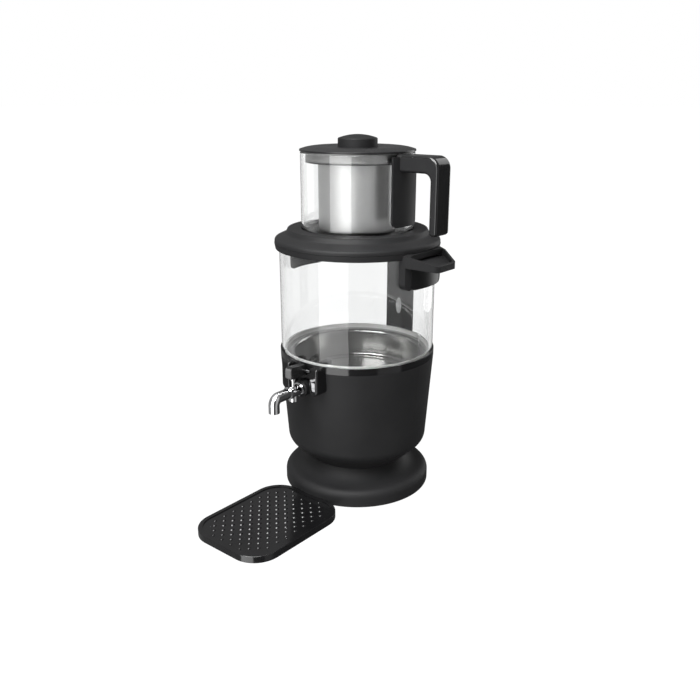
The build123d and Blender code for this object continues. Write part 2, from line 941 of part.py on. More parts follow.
def element_ends():
    half_gap = radians((360 - element_arc) / 2)
    x = element_radius * sin(half_gap)
    y = element_radius * cos(half_gap)
    return [(-x, y), (x, y)]


def make_heating_element():
    low = heater_low - element_depth
    inside = element_radius - element_width / 2
    outside = element_radius + element_width / 2
    edge = element_width / 4
    ring = lathe([(inside, heater_low), (outside, heater_low), (outside, low, edge), (inside, low, edge)],
                 element_arc)
    ring = Rot(0, 0, 90 + (360 - element_arc) / 2) * ring
    for x, y in element_ends():
        foot = post(element_width / 2, low, heater_low, x, y)
        ring += foot + post(terminal_radius, low - terminal_length, low, x, y)
    return ring


def make_thermostat():
    low = heater_low - thermostat_height
    can = post(thermostat_radius, low, heater_low)
    for side in (-1, 1):
        x = side * thermostat_radius / 2
        can += block((x - 0.4, x + 0.4), (-3, 3), (low - thermostat_height, low))
    return can


def make_thermal_fuse():
    length, width, depth = fuse_size
    y = -element_radius - element_width / 2 - fuse_gap - width / 2
    return block((-length / 2, length / 2), (y - width / 2, y + width / 2),
                 (heater_low - depth, heater_low))


def make_terminal_block():
    length, width, height = block_size
    body = block((-length / 2, length / 2), (block_place - width / 2, block_place + width / 2),
                 (housing_floor, housing_floor + height))
    for i in range(4):
        x = length * (i - 1.5) / 4
        body -= post(wire_radius * 1.6, housing_floor + height / 2, housing_floor + height, x, block_place)
    return body


def wire(points):
    runs = [(Vector(*end) - Vector(*start)).length for start, end in zip(points, points[1:])]
    line = FilletPolyline(*points, radius=min(wire_bend, min(runs) * 0.7))
    ends = Plane(origin=line @ 0, z_dir=line % 0)
    return sweep(ends * Circle(wire_radius), path=line)


def make_wire_harness():
    length, width, height = block_size
    start = housing_floor + height / 2
    ends_z = heater_low - element_depth - terminal_length
    middle = (start + ends_z) / 2
    wires = []
    for i, (x, y) in zip((0, 3), element_ends()):
        first = length * (i - 1.5) / 4
        wires.append(wire([(first, block_place, start), (first, block_place, middle),
                           (x, y, ends_z - wire_lead), (x, y, ends_z)]))
    return group(wires)


def make_power_inlet():
    width, height = inlet_size
    back = housing_outside(inlet_height)
    front = back + inlet_flange_depth
    low, high = inlet_height - height / 2, inlet_height + height / 2
    flange_x = (-width / 2 - inlet_flange, width / 2 + inlet_flange)
    flange_z = (low - inlet_flange, high + inlet_flange)
    flange = block(flange_x, (back - body_wall * 2, front), flange_z) - body_core(running_gap)
    shell = block((-width / 2, width / 2), (front - inlet_depth, front), (low, high))
    inner_x = (-width / 2 + inlet_wall, width / 2 - inlet_wall)
    cavity = block(inner_x, (front - inlet_depth + inlet_floor, front), (low + inlet_wall, high - inlet_wall))
    inlet = flange + shell - cavity
    for x in (-pin_spread, pin_spread):
        inlet -= rod_back(pin_shank_radius + fixed_gap, front - inlet_depth, front, x, inlet_height)
    return inlet


def make_inlet_pins():
    back = housing_outside(inlet_height) + inlet_flange_depth - inlet_depth
    floor = back + inlet_floor
    pins = []
    for x in (-pin_spread, pin_spread):
        pin = rod_back(pin_shank_radius, back - inlet_floor, floor, x, inlet_height)
        pin += rod_back(pin_groove_radius, floor, floor + pin_groove, x, inlet_height)
        pin += rod_back(pin_radius, floor + pin_groove, back + pin_length, x, inlet_height)
        pins.append(pin)
    return group(pins)


# Tap bracket and lever
def make_tap_bracket():
    solid = None
    top = ring_top
    for side in (-1, 1):
        left = side * lobe_place - lobe_half
        right = side * lobe_place + lobe_half
        round_low = lobe_half * 0.98
        outline = [(left, lobe_low, round_low), (right, lobe_low, round_low), (right, top, 2.0), (left, top, 2.0)]
        lobe = extrude(Plane.XZ.offset(bowl_radius) * rounded_face(outline), lobe_front - bowl_radius)
        lobe = fillet(lobe.faces().sort_by(Axis.Y)[0].edges(), lobe_edge_round)
        solid = lobe if solid is None else solid + lobe
    outer = lobe_place + lobe_half / 2
    solid += block((-outer, outer), (-bridge_front, -bowl_radius), (bridge_low, top))
    slot_low = lever_pin_height - lever_hub_radius - lift_gap * 2
    solid -= block((-lever_slot_half, lever_slot_half), (-lobe_front, 0), (slot_low, top))
    solid -= body_core(fixed_gap)
    pin_half = lobe_place - lobe_half + pin_seat
    solid -= rod_across(lever_pin_radius + running_gap, -pin_half, pin_half, -lever_pin_reach, lever_pin_height)
    half = rocker_width / 2 + lift_gap
    rise = rocker_height / 2 + lift_gap * 2
    solid -= block((lobe_place - half, lobe_place + half), (-lobe_front, -lobe_front + pocket_depth),
                   (rocker_middle - rise, rocker_middle + rise))
    solid -= rod_across(rocker_pin_radius + running_gap, lobe_place - half - 2, lobe_place + half + 2,
                        -rocker_axis(), rocker_middle)
    solid -= rod_front(wire_hole_radius, 0, lobe_front - pocket_depth, lobe_place, wire_hole_height)
    for side in (-1, 1):
        solid -= rod_front(bracket_screw_radius + running_gap, 0, bracket_screw_end(),
                           side * lobe_place, bracket_screw_height)
    return solid


def rocker_axis():
    return lobe_front - rocker_depth + rocker_hub_radius / 2


def bracket_screw_seat():
    head_radius = bracket_screw_radius * 2
    wall = housing_inside(bracket_screw_height - head_radius)
    return (wall ** 2 - (lobe_place + head_radius) ** 2) ** 0.5 - lift_gap


def bracket_screw_end():
    return bracket_screw_seat() + bracket_screw_bite + body_wall


def make_bracket_screws():
    seat = bracket_screw_seat()
    screws = []
    for side in (-1, 1):
        x = side * lobe_place
        head = rod_front(bracket_screw_radius * 2, seat - bracket_screw_radius * 1.2, seat, x, bracket_screw_height)
        shank = rod_front(bracket_screw_radius, seat, bracket_screw_end() - fixed_gap, x, bracket_screw_height)
        screws.append(head + shank)
    return group(screws)


def make_lever_pin():
    half = lobe_place - lobe_half + pin_seat - fixed_gap
    return rod_across(lever_pin_radius, -half, half, -lever_pin_reach, lever_pin_height)


def make_tap_lever():
    outline = [
        (lever_pin_reach, lever_low),
        (lever_reach, lever_low, lever_round),
        (lever_reach, lever_high, lever_round * 2),
        (lever_pin_reach, lever_high - lever_round),
    ]
    arm = extrude(Plane.YZ * mirror(rounded_face(outline), Plane.YZ), lever_half, both=True)
    hub = rod_across(lever_hub_radius, -lever_half, lever_half, -lever_pin_reach, lever_pin_height)
    lever = arm + hub
    return lever - rod_across(lever_pin_radius + running_gap, -lever_half - 1, lever_half + 1,
                              -lever_pin_reach, lever_pin_height)


def make_switch_rocker():
    axis = rocker_axis()
    half = rocker_width / 2
    rise = rocker_height / 2
    cap = block((lobe_place - half, lobe_place + half), (-axis - rocker_depth / 2, -axis),
                (rocker_middle - rise, rocker_middle + rise))
    hub = rod_across(rocker_hub_radius, lobe_place - half, lobe_place + half, -axis, rocker_middle)
    rocker = cap + hub - rod_across(rocker_pin_radius + running_gap, lobe_place - half - 1,
                                    lobe_place + half + 1, -axis, rocker_middle)
    pivot = Pos(0, -axis, rocker_middle)
    return pivot * Rot(rocker_tilt, 0, 0) * pivot.inverse() * rocker


def make_switch_pin():
    half = rocker_width / 2 + lift_gap + 2 - fixed_gap
    return rod_across(rocker_pin_radius, lobe_place - half, lobe_place + half, -rocker_axis(), rocker_middle)


# Tap
def make_tap_valve_body():
    valve = rod_front(tail_radius, tail_end, body_start, 0, tap_height)
    valve += rod_front(valve_radius, body_start, body_end, 0, tap_height)
    spigot_radius = spout_tube_bore - running_gap
    spigot_end = body_end + union_width + spigot_length
    valve += rod_front(spigot_radius, body_end, spigot_end, 0, tap_height)
    valve += post(boss_radius, boss_low, boss_high, 0, -stem_reach)
    valve -= rod_front(flow_radius, tail_end, spigot_end, 0, tap_height)
    valve -= post(chamber_radius, chamber_low, chamber_high, 0, -stem_reach)
    return valve - post(stem_radius + running_gap, chamber_low, boss_high, 0, -stem_reach)


def make_valve_stem():
    top = lever_low - lift_gap
    land_low = tap_height - land_height / 2
    stem = post(stem_radius, land_low, top - stem_cap_height, 0, -stem_reach)
    stem += post(chamber_radius - running_gap, land_low, land_low + land_height, 0, -stem_reach)
    cap = lathe([
        (0, top - stem_cap_height),
        (stem_cap_radius, top - stem_cap_height),
        (stem_cap_radius, top, stem_cap_radius * 0.8),
        (0, top),
    ])
    return stem + Pos(0, -stem_reach, 0) * cap


def make_valve_spring():
    high = tap_height - land_height / 2
    sleeve = tube(spring_radius - spring_wire, spring_radius, chamber_low, high)
    return Pos(0, -stem_reach, 0) * sleeve


def make_tap_outer_nut():
    front = body_start - thin_ring_width
    nut = rod_front(nut_radius, body_radius - body_wall, front, 0, tap_height)
    nut -= body_core(running_gap)
    return nut - rod_front(tail_radius + running_gap, 0, body_start, 0, tap_height)


def make_tap_rings():
    thin = rod_front(thin_ring_radius, body_start - thin_ring_width, body_start, 0, tap_height)
    thin -= rod_front(tail_radius + running_gap, 0, body_start, 0, tap_height)
    union_end = body_end + union_width
    union = rod_front(union_radius, body_end, union_end, 0, tap_height)
    union -= rod_front(spout_tube_bore, body_end, union_end, 0, tap_height)
    return group([thin, union])


def make_tap_spout():
    start = body_end + union_width
    line = FilletPolyline((0, -start, tap_height), (0, -nozzle_reach, tap_height),
                          (0, -nozzle_reach, nozzle_low), radius=elbow_round)
    ends = Plane(origin=line @ 0, z_dir=line % 0)
    outside = sweep(ends * Circle(spout_tube_radius), path=line)
    return outside - sweep(ends * Circle(spout_tube_bore), path=line)


def make_nozzle_insert():
    low = nozzle_low + insert_hole_radius
    disc = post(spout_tube_bore - running_gap, low, low + insert_length)
    for x, y in [(0, 0)] + around(insert_hole_circle, 6):
        disc -= post(insert_hole_radius, low, low + insert_length, x, y)
    return Pos(0, -nozzle_reach, 0) * disc


def make_tap_washer():
    back = bowl_radius - washer_width
    washer = rod_front(washer_radius, back, bowl_radius, 0, tap_height)
    washer &= post(bowl_radius - running_gap, bowl_floor, flange_top)
    return washer - rod_front(tail_radius + running_gap, 0, bowl_radius, 0, tap_height)


def make_tap_lock_nut():
    front = bowl_radius - washer_width
    hexagon = extrude(RegularPolygon(lock_nut_radius, 6), lock_nut_width)
    nut = Pos(0, -front + lock_nut_width, tap_height) * Rot(90, 0, 0) * hexagon
    return nut - rod_front(tail_radius + running_gap, 0, bowl_radius, 0, tap_height)


def make_inlet_strainer():
    back = bowl_radius - washer_width - lock_nut_width
    start = back - strainer_length
    wall = strainer_radius - tail_radius
    cup = rod_front(strainer_radius, start, back, 0, tap_height)
    cup -= rod_front(tail_radius + running_gap, start + wall, back, 0, tap_height)
    slot_end = tail_end - wall / 2
    for i in range(strainer_slots):
        turn = 360 * (i + 0.5) / strainer_slots
        slot = block((0, strainer_radius + 1), (-slot_end, -start - wall * 2),
                     (-strainer_slot_width / 2, strainer_slot_width / 2))
        cup -= Pos(0, 0, tap_height) * Rot(0, turn, 0) * slot
    return cup


def make_level_probe():
    top = flange_top - probe_drop
    low = top - probe_depth
    half = probe_width / 2
    foot_half = probe_foot_width / 2
    end = bowl_radius - probe_length
    outline = [
        (-foot_half, -bowl_radius),
        (foot_half, -bowl_radius),
        (foot_half, -bowl_radius + probe_foot_wall + 1),
        (half, -bowl_radius + probe_foot_wall * 2),
        (half, -end, half * 0.9),
        (-half, -end, half * 0.9),
        (-half, -bowl_radius + probe_foot_wall * 2),
        (-foot_half, -bowl_radius + probe_foot_wall + 1),
    ]
    arm = Pos(0, 0, low) * extrude(rounded_face(outline), probe_depth)
    foot = block((-foot_half, foot_half), (-bowl_radius, -bowl_radius + probe_foot_wall + 1),
                 (top - probe_foot_depth, top))
    arm = (arm + foot) & post(bowl_radius - running_gap, bowl_floor, flange_top)
    return arm - post(probe_pin_radius + running_gap, low - 1, top + 1, 0, -probe_pin_place())


def probe_pin_place():
    return bowl_radius - probe_length + probe_width / 2


def make_probe_pin():
    top = flange_top - probe_drop
    pin = post(probe_pin_radius, top - probe_pin_length, top, 0, -probe_pin_place())
    return pin + post(probe_pin_radius * 1.4, top, top + probe_pin_head, 0, -probe_pin_place())


# Drip tray
def tray_outline(inset):
    half = tray_half - inset
    corner = tray_corner - inset
    return [
        (-half, -tray_front + inset, corner),
        (half, -tray_front + inset, corner),
        (half, -tray_back - inset, corner),
        (-half, -tray_back - inset, corner),
    ]


def stud_places():
    places = []
    length = tray_front - tray_back
    middle = (tray_front + tray_back) / 2
    rows = int(length / 2 / stud_pitch)
    columns = int(tray_half / stud_pitch)
    corner = tray_corner - tray_rim
    for row in range(-rows, rows + 1):
        for column in range(-columns, columns + 1):
            if (row + column) % 2:
                continue
            x, y = column * stud_pitch, -middle + row * stud_pitch
            over_x = max(0, abs(x) - (tray_half - tray_rim - corner))
            over_y = max(0, abs(y + middle) - (length / 2 - tray_rim - corner))
            inside = corner - (over_x ** 2 + over_y ** 2) ** 0.5
            inside = min(inside, (x * x + y * y) ** 0.5 - foot_radius - tray_gap - tray_rim)
            share = min(1, max(0, inside / stud_fade))
            radius = stud_small_radius + (stud_radius - stud_small_radius) * share
            if inside > radius + stud_margin:
                places.append((x, y, radius))
    return places


def make_drip_tray():
    arc = foot_radius + tray_gap
    tray = extrude(rounded_face(tray_outline(0)), tray_height)
    tray = fillet(tray.faces().sort_by(Axis.Z)[-1].edges(), tray_edge_round)
    tray -= post(arc, -1, tray_height + 1)
    field = Pos(0, 0, tray_floor) * extrude(rounded_face(tray_outline(tray_rim)), tray_height)
    field -= post(arc + tray_rim, 0, tray_height * 2)
    tray -= field
    studs = []
    for x, y, radius in stud_places():
        ball_radius = (radius ** 2 + stud_rise ** 2) / (2 * stud_rise)
        ball = Pos(x, y, tray_floor + stud_rise - ball_radius) * Sphere(ball_radius)
        floor = tray_floor / 2
        reach = ball_radius + 1
        cap = ball & block((x - reach, x + reach), (y - reach, y + reach), (floor, tray_height))
        studs.append(cap)
    print("drip tray studs", len(studs))
    return tray + studs


makers = {
    "pedestal_base": make_pedestal_base,
    "base_plate": make_base_plate,
    "rubber_feet": make_rubber_feet,
    "base_screws": make_base_screws,
    "neck_screws": make_neck_screws,
    "lower_housing": make_lower_housing,
    "trim_ring": make_trim_ring,
    "steel_bowl": make_steel_bowl,
    "tank_gasket": make_tank_gasket,
    "glass_tank": make_glass_tank,
    "glass_collar": make_glass_collar,
    "spout_insert": make_spout_insert,
    "steam_baffle": make_steam_baffle,
    "rear_spine": make_rear_spine,
    "tank_lid": make_tank_lid,
    "lid_seal": make_lid_seal,
    "seat_plate": make_seat_plate,
    "teapot_glass": make_teapot_glass,
    "teapot_handle": make_teapot_handle,
    "handle_trim": make_handle_trim,
    "infuser_basket": make_infuser_basket,
    "infuser_collar": make_infuser_collar,
    "infuser_seal": make_infuser_seal,
    "teapot_lid": make_teapot_lid,
    "teapot_lid_gasket": make_teapot_lid_gasket,
    "lid_knob": make_lid_knob,
    "knob_screw": make_knob_screw,
    "heater_plate": make_heater_plate,
    "heating_element": make_heating_element,
    "thermostat": make_thermostat,
    "thermal_fuse": make_thermal_fuse,
    "terminal_block": make_terminal_block,
    "wire_harness": make_wire_harness,
    "power_inlet": make_power_inlet,
    "inlet_pins": make_inlet_pins,
    "tap_bracket": make_tap_bracket,
    "bracket_screws": make_bracket_screws,
    "lever_pin": make_lever_pin,
    "tap_lever": make_tap_lever,
    "switch_rocker": make_switch_rocker,
    "switch_pin": make_switch_pin,
    "tap_valve_body": make_tap_valve_body,
    "valve_stem": make_valve_stem,
    "valve_spring": make_valve_spring,
    "tap_outer_nut": make_tap_outer_nut,
    "tap_rings": make_tap_rings,
    "tap_spout": make_tap_spout,
    "nozzle_insert": make_nozzle_insert,
    "tap_washer": make_tap_washer,
    "tap_lock_nut": make_tap_lock_nut,
    "inlet_strainer": make_inlet_strainer,
    "level_probe": make_level_probe,
    "probe_pin": make_probe_pin,
    "drip_tray": make_drip_tray,
}

os.makedirs("parts", exist_ok=True)
for name, make in makers.items():
    export_step(make(), f"parts/{name}.step")
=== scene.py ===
import math
import bpy
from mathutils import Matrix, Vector

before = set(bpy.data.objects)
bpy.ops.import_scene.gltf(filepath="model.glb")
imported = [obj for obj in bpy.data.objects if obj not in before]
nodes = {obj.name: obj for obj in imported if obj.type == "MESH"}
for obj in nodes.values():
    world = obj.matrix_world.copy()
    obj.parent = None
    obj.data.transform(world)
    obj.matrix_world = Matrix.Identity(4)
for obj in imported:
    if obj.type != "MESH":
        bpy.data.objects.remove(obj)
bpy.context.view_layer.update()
print("frame loaded:", len(nodes), "pieces")


# camera, from the fitted viewpoint of the photograph
viewpoint = {
    "azimuth": 39.0,
    "distance": 0.8677,    # from the axis, level
    "height": 0.4495,
    "pitch": 18.304,       # degrees down
    "swing": -0.5527,      # degrees, left of the axis if negative
    "lens": 39.64,         # millimetres, like the sensor
    "sensor": 36.0,
    "nearest": 0.01,
}


def addCamera(view):
    turn = math.radians(view["azimuth"])
    pitch = math.radians(view["pitch"])
    swing = math.radians(view["swing"])
    right = Vector((math.cos(turn), math.sin(turn), 0))
    away = Vector((-math.sin(turn), math.cos(turn), 0))
    aim = (right * math.sin(swing) + away * math.cos(swing)) * math.cos(pitch)
    aim.z = -math.sin(pitch)
    data = bpy.data.cameras.new("viewCamera")
    data.lens = view["lens"]
    data.sensor_width = view["sensor"]
    data.clip_start = view["nearest"]
    camera = bpy.data.objects.new("viewCamera", data)
    bpy.context.scene.collection.objects.link(camera)
    camera.location = -away * view["distance"] + Vector((0, 0, view["height"]))
    camera.rotation_euler = aim.to_track_quat("-Z", "Y").to_euler()
    bpy.context.scene.camera = camera
    return right, away


rightWay, awayWay = addCamera(viewpoint)
print("camera placed")


# small helpers for node materials
noiseLow = 0.3             # most values of a noise lie between these two
noiseHigh = 0.7


def startMaterial(name):
    material = bpy.data.materials.new(name)
    material.use_nodes = True
    tree = material.node_tree
    shader = tree.nodes["Principled BSDF"]
    return material, tree, shader


def addNode(tree, kind, **values):
    node = tree.nodes.new(kind)
    for key, value in values.items():
        setattr(node, key, value)
    return node


def objectPlace(tree):
    return addNode(tree, "ShaderNodeTexCoord").outputs["Object"]


def splitPlace(tree, place):
    parts = addNode(tree, "ShaderNodeSeparateXYZ")
    tree.links.new(place, parts.inputs["Vector"])
    return parts.outputs


def axisReach(tree, parts):
    flat = addNode(tree, "ShaderNodeCombineXYZ")
    tree.links.new(parts["X"], flat.inputs["X"])
    tree.links.new(parts["Y"], flat.inputs["Y"])
    reach = addNode(tree, "ShaderNodeVectorMath", operation="LENGTH")
    tree.links.new(flat.outputs["Vector"], reach.inputs[0])
    return reach.outputs["Value"]


def addNoise(tree, place, scale, detail=3.0, roughness=0.55, extra=None):
    noise = addNode(tree, "ShaderNodeTexNoise")
    if extra is not None:
        noise.noise_dimensions = "4D"
        tree.links.new(extra, noise.inputs["W"])
    noise.inputs["Scale"].default_value = scale
    noise.inputs["Detail"].default_value = detail
    noise.inputs["Roughness"].default_value = roughness
    tree.links.new(place, noise.inputs["Vector"])
    return noise.outputs["Fac"]


def addRange(tree, value, low, high, fromLow=noiseLow, fromHigh=noiseHigh):
    mapped = addNode(tree, "ShaderNodeMapRange")
    mapped.inputs["From Min"].default_value = fromLow
    mapped.inputs["From Max"].default_value = fromHigh
    mapped.inputs["To Min"].default_value = low
    mapped.inputs["To Max"].default_value = high
    tree.links.new(value, mapped.inputs["Value"])
    return mapped.outputs["Result"]


def addRamp(tree, value, stops):
    ramp = addNode(tree, "ShaderNodeValToRGB")
    elements = ramp.color_ramp.elements
    while len(elements) < len(stops):
        elements.new(0.5)
    for element, (position, colour) in zip(elements, stops):
        element.position = position
        element.color = (*colour, 1.0)
    tree.links.new(value, ramp.inputs["Fac"])
    return ramp.outputs["Color"]


def addTones(tree, noise, colours):
    dark, light = colours
    return addRamp(tree, noise, [(noiseLow, dark), (noiseHigh, light)])


def addMath(tree, operation, first, second):
    node = addNode(tree, "ShaderNodeMath", operation=operation)
    for socket, value in zip(node.inputs, (first, second)):
        if isinstance(value, (int, float)):
            socket.default_value = value
        else:
            tree.links.new(value, socket)
    return node.outputs["Value"]


def addBlend(tree, first, second, firstShare):
    firstPart = addMath(tree, "MULTIPLY", first, firstShare)
    secondPart = addMath(tree, "MULTIPLY", second, 1.0 - firstShare)
    return addMath(tree, "ADD", firstPart, secondPart)


def mixColours(tree, share, first, second):
    mixed = addNode(tree, "ShaderNodeMixRGB")
    tree.links.new(share, mixed.inputs["Fac"])
    for key, value in (("Color1", first), ("Color2", second)):
        if isinstance(value, tuple):
            mixed.inputs[key].default_value = (*value, 1.0)
        else:
            tree.links.new(value, mixed.inputs[key])
    return mixed.outputs["Color"]


def addBump(tree, shader, height, strength, distance):
    bump = addNode(tree, "ShaderNodeBump")
    bump.inputs["Strength"].default_value = strength
    bump.inputs["Distance"].default_value = distance
    tree.links.new(height, bump.inputs["Height"])
    tree.links.new(bump.outputs["Normal"], shader.inputs["Normal"])


# moulded plastic and rubber: fine grain over slow mottling
plainSpecular = 0.5        # for a look that names none


def mouldedFinish(name, look):
    material, tree, shader = startMaterial(name)
    place = objectPlace(tree)
    mottle = addNoise(tree, place, look["mottle"], detail=4.0)
    grain = addNoise(tree, place, look["grain"], detail=2.0, roughness=0.6)
    tree.links.new(addTones(tree, mottle, look["colours"]), shader.inputs["Base Color"])
    both = addBlend(tree, mottle, grain, firstShare=0.6)
    low, high = look["roughness"]
    tree.links.new(addRange(tree, both, low, high), shader.inputs["Roughness"])
    shader.inputs["Specular IOR Level"].default_value = look.get("specular", plainSpecular)
    addBump(tree, shader, grain, look["bump"], look["depth"])
    return material


satinBlack = mouldedFinish("satinBlackPlastic", {
    "colours": ((0.0105, 0.0105, 0.011), (0.0135, 0.0135, 0.014)),
    "roughness": (0.5, 0.6),
    "mottle": 22.0,
    "grain": 2600.0,
    "bump": 0.1,
    "depth": 0.0001,
    "specular": 0.14,
})
lidBlack = mouldedFinish("lidBlackPlastic", {
    "colours": ((0.0105, 0.0105, 0.011), (0.0138, 0.0138, 0.0142)),
    "roughness": (0.46, 0.58),
    "mottle": 16.0,
    "grain": 2600.0,
    "bump": 0.1,
    "depth": 0.0001,
    "specular": 0.16,
})
mattBlack = mouldedFinish("mattBlackPlastic", {
    "colours": ((0.008, 0.008, 0.0085), (0.011, 0.011, 0.0115)),
    "roughness": (0.5, 0.62),
    "mottle": 30.0,
    "grain": 3000.0,
    "bump": 0.12,
    "depth": 0.0001,
    "specular": 0.18,
})
glossBlack = mouldedFinish("glossBlackPlastic", {
    "colours": ((0.003, 0.003, 0.0032), (0.005, 0.005, 0.0052)),
    "roughness": (0.06, 0.11),
    "mottle": 18.0,
    "grain": 500.0,
    "bump": 0.012,
    "depth": 0.0001,
})
potLidBlack = mouldedFinish("potLidPlastic", {
    "colours": ((0.01, 0.01, 0.0105), (0.014, 0.014, 0.0145)),
    "roughness": (0.24, 0.32),
    "mottle": 18.0,
    "grain": 1800.0,
    "bump": 0.03,
    "depth": 0.0001,
    "specular": 0.26,
})
insertBlack = mouldedFinish("insertBlackPlastic", {
    "colours": ((0.003, 0.003, 0.0032), (0.0048, 0.0048, 0.005)),
    "roughness": (0.28, 0.36),
    "mottle": 30.0,
    "grain": 1500.0,
    "bump": 0.03,
    "depth": 0.0001,
    "specular": 0.3,
})
trayBlack = mouldedFinish("trayBlackPlastic", {
    "colours": ((0.0035, 0.0035, 0.0037), (0.006, 0.006, 0.0063)),
    "roughness": (0.1, 0.18),
    "mottle": 26.0,
    "grain": 900.0,
    "bump": 0.02,
    "depth": 0.0001,
})
blackRubber = mouldedFinish("blackRubber", {
    "colours": ((0.012, 0.012, 0.012), (0.022, 0.022, 0.022)),
    "roughness": (0.75, 0.9),
    "mottle": 60.0,
    "grain": 1800.0,
    "bump": 0.25,
    "depth": 0.0002,
})
paleSilicone = mouldedFinish("paleSilicone", {
    "colours": ((0.62, 0.62, 0.61), (0.74, 0.74, 0.73)),
    "roughness": (0.4, 0.55),
    "mottle": 40.0,
    "grain": 1500.0,
    "bump": 0.1,
    "depth": 0.0001,
})
paleRocker = mouldedFinish("paleRockerPlastic", {
    "colours": ((0.42, 0.42, 0.43), (0.5, 0.5, 0.51)),
    "roughness": (0.25, 0.35),
    "mottle": 120.0,
    "grain": 2500.0,
    "bump": 0.06,
    "depth": 0.0001,
})
ceramicWhite = mouldedFinish("ceramicWhite", {
    "colours": ((0.66, 0.64, 0.58), (0.78, 0.76, 0.7)),
    "roughness": (0.5, 0.7),
    "mottle": 90.0,
    "grain": 1600.0,
    "bump": 0.2,
    "depth": 0.0002,
})
wireRed = mouldedFinish("wireInsulation", {
    "colours": ((0.3, 0.02, 0.012), (0.42, 0.035, 0.02)),
    "roughness": (0.5, 0.65),
    "mottle": 120.0,
    "grain": 1800.0,
    "bump": 0.15,
    "depth": 0.0001,
})
print("plastics ready")


# turned and brushed metal: streaks run round the vertical axis
def brushedFinish(name, look):
    material, tree, shader = startMaterial(name)
    place = objectPlace(tree)
    parts = splitPlace(tree, place)
    streakPlace = addNode(tree, "ShaderNodeCombineXYZ")
    slow = look["along"]
    fast = look["across"]
    for axis, scale in (("X", slow), ("Y", slow), ("Z", fast)):
        tree.links.new(addMath(tree, "MULTIPLY", parts[axis], scale), streakPlace.inputs[axis])
    ringPlace = addMath(tree, "MULTIPLY", axisReach(tree, parts), fast)
    streak = addNoise(tree, streakPlace.outputs["Vector"], scale=1.0, roughness=0.6, extra=ringPlace)
    smudge = addNoise(tree, place, look["smudge"])
    both = addBlend(tree, streak, smudge, firstShare=0.7)
    tree.links.new(addTones(tree, both, look["colours"]), shader.inputs["Base Color"])
    low, high = look["roughness"]
    tree.links.new(addRange(tree, both, low, high), shader.inputs["Roughness"])
    shader.inputs["Metallic"].default_value = 1.0
    addBump(tree, shader, streak, look["bump"], look["depth"])
    return material


brushedSteel = brushedFinish("brushedSteel", {
    "colours": ((0.4, 0.4, 0.4), (0.46, 0.46, 0.455)),
    "roughness": (0.42, 0.48),
    "along": 10.0,
    "across": 2600.0,
    "smudge": 9.0,
    "bump": 0.04,
    "depth": 0.00003,
})
bandSteel = brushedFinish("bandSteel", {
    "colours": ((0.23, 0.23, 0.23), (0.28, 0.28, 0.275)),
    "roughness": (0.5, 0.58),
    "along": 10.0,
    "across": 2600.0,
    "smudge": 12.0,
    "bump": 0.04,
    "depth": 0.00003,
})
bowlSteel = brushedFinish("bowlSteel", {
    "colours": ((0.42, 0.42, 0.415), (0.49, 0.49, 0.48)),
    "roughness": (0.15, 0.22),
    "along": 6.0,
    "across": 1100.0,
    "smudge": 8.0,
    "bump": 0.03,
    "depth": 0.00003,
})
platedSteel = brushedFinish("platedSteel", {
    "colours": ((0.42, 0.42, 0.41), (0.58, 0.58, 0.56)),
    "roughness": (0.28, 0.42),
    "along": 40.0,
    "across": 1200.0,
    "smudge": 60.0,
    "bump": 0.15,
    "depth": 0.00005,
})
castAluminium = brushedFinish("castAluminium", {
    "colours": ((0.45, 0.45, 0.46), (0.6, 0.6, 0.61)),
    "roughness": (0.4, 0.55),
    "along": 200.0,
    "across": 400.0,
    "smudge": 40.0,
    "bump": 0.3,
    "depth": 0.0001,
})
brassPin = brushedFinish("brassPin", {
    "colours": ((0.55, 0.38, 0.14), (0.7, 0.52, 0.22)),
    "roughness": (0.22, 0.34),
    "along": 60.0,
    "across": 1500.0,
    "smudge": 80.0,
    "bump": 0.1,
    "depth": 0.00004,
})
polishedChrome = brushedFinish("polishedChrome", {
    "colours": ((0.74, 0.74, 0.75), (0.82, 0.82, 0.83)),
    "roughness": (0.04, 0.09),
    "along": 30.0,
    "across": 120.0,
    "smudge": 90.0,
    "bump": 0.02,
    "depth": 0.00003,
})
print("metals ready")


# clear glass, with a trace of haze and ripple
glassLook = {
    "tint": (0.953, 0.957, 0.956),
    "index": 1.45,
    "roughness": (0.0, 0.012),
    "haze": 25.0,
    "ripple": 9.0,
    "bump": 0.02,
    "depth": 0.0004,
}


def glassFinish(name, look):
    material, tree, shader = startMaterial(name)
    place = objectPlace(tree)
    haze = addNoise(tree, place, look["haze"])
    ripple = addNoise(tree, place, look["ripple"], detail=1.0)
    low, high = look["roughness"]
    tree.links.new(addRange(tree, haze, low, high), shader.inputs["Roughness"])
    shader.inputs["Base Color"].default_value = (*look["tint"], 1.0)
    shader.inputs["IOR"].default_value = look["index"]
    shader.inputs["Transmission Weight"].default_value = 1.0
    addBump(tree, shader, ripple, look["bump"], look["depth"])
    return material


clearGlass = glassFinish("clearGlass", glassLook)
print("glass ready")


# the strip behind the tank: satin above, smoother below, split by a slanting pair of pale lines that
# are a painted reflection, with one pale drop that is a painted highlight
spineLook = {
    "slope": 0.317,        # fall of the line towards +x
    "level": 0.204,        # its height at x = 0
    "reach": 0.01,         # heights above and below it that the stops share out
    # along the slant: black below, a pale line, a dark gap, a fainter pale line, dark grey above; the
    # two pale lines are a painted reflection
    "stops": ((0.0, (0.002, 0.002, 0.0022)), (0.42, (0.8, 0.8, 0.8)), (0.47, (0.006, 0.006, 0.006)),
              (0.53, (0.5, 0.5, 0.5)), (0.56, (0.016, 0.016, 0.0165))),
    "roughness": (0.3, 0.5),
    "roughnessFade": 0.001,
    "unevenness": (0.9, 1.1),
    "specular": 0.12,
    # the pale drop and its colour below are a painted highlight
    "paintedGlint": {"x": -0.003, "z": 0.199, "halfWidth": 0.0042, "halfTall": 0.0105, "fade": 0.8},
    "paintedGlintColour": (0.85, 0.85, 0.85),
    "outside": (0.012, 0.012, 0.0125),
    "outsideFade": 0.0002,
    "grain": 1800.0,
    "bump": 0.04,
    "depth": 0.0001,
}


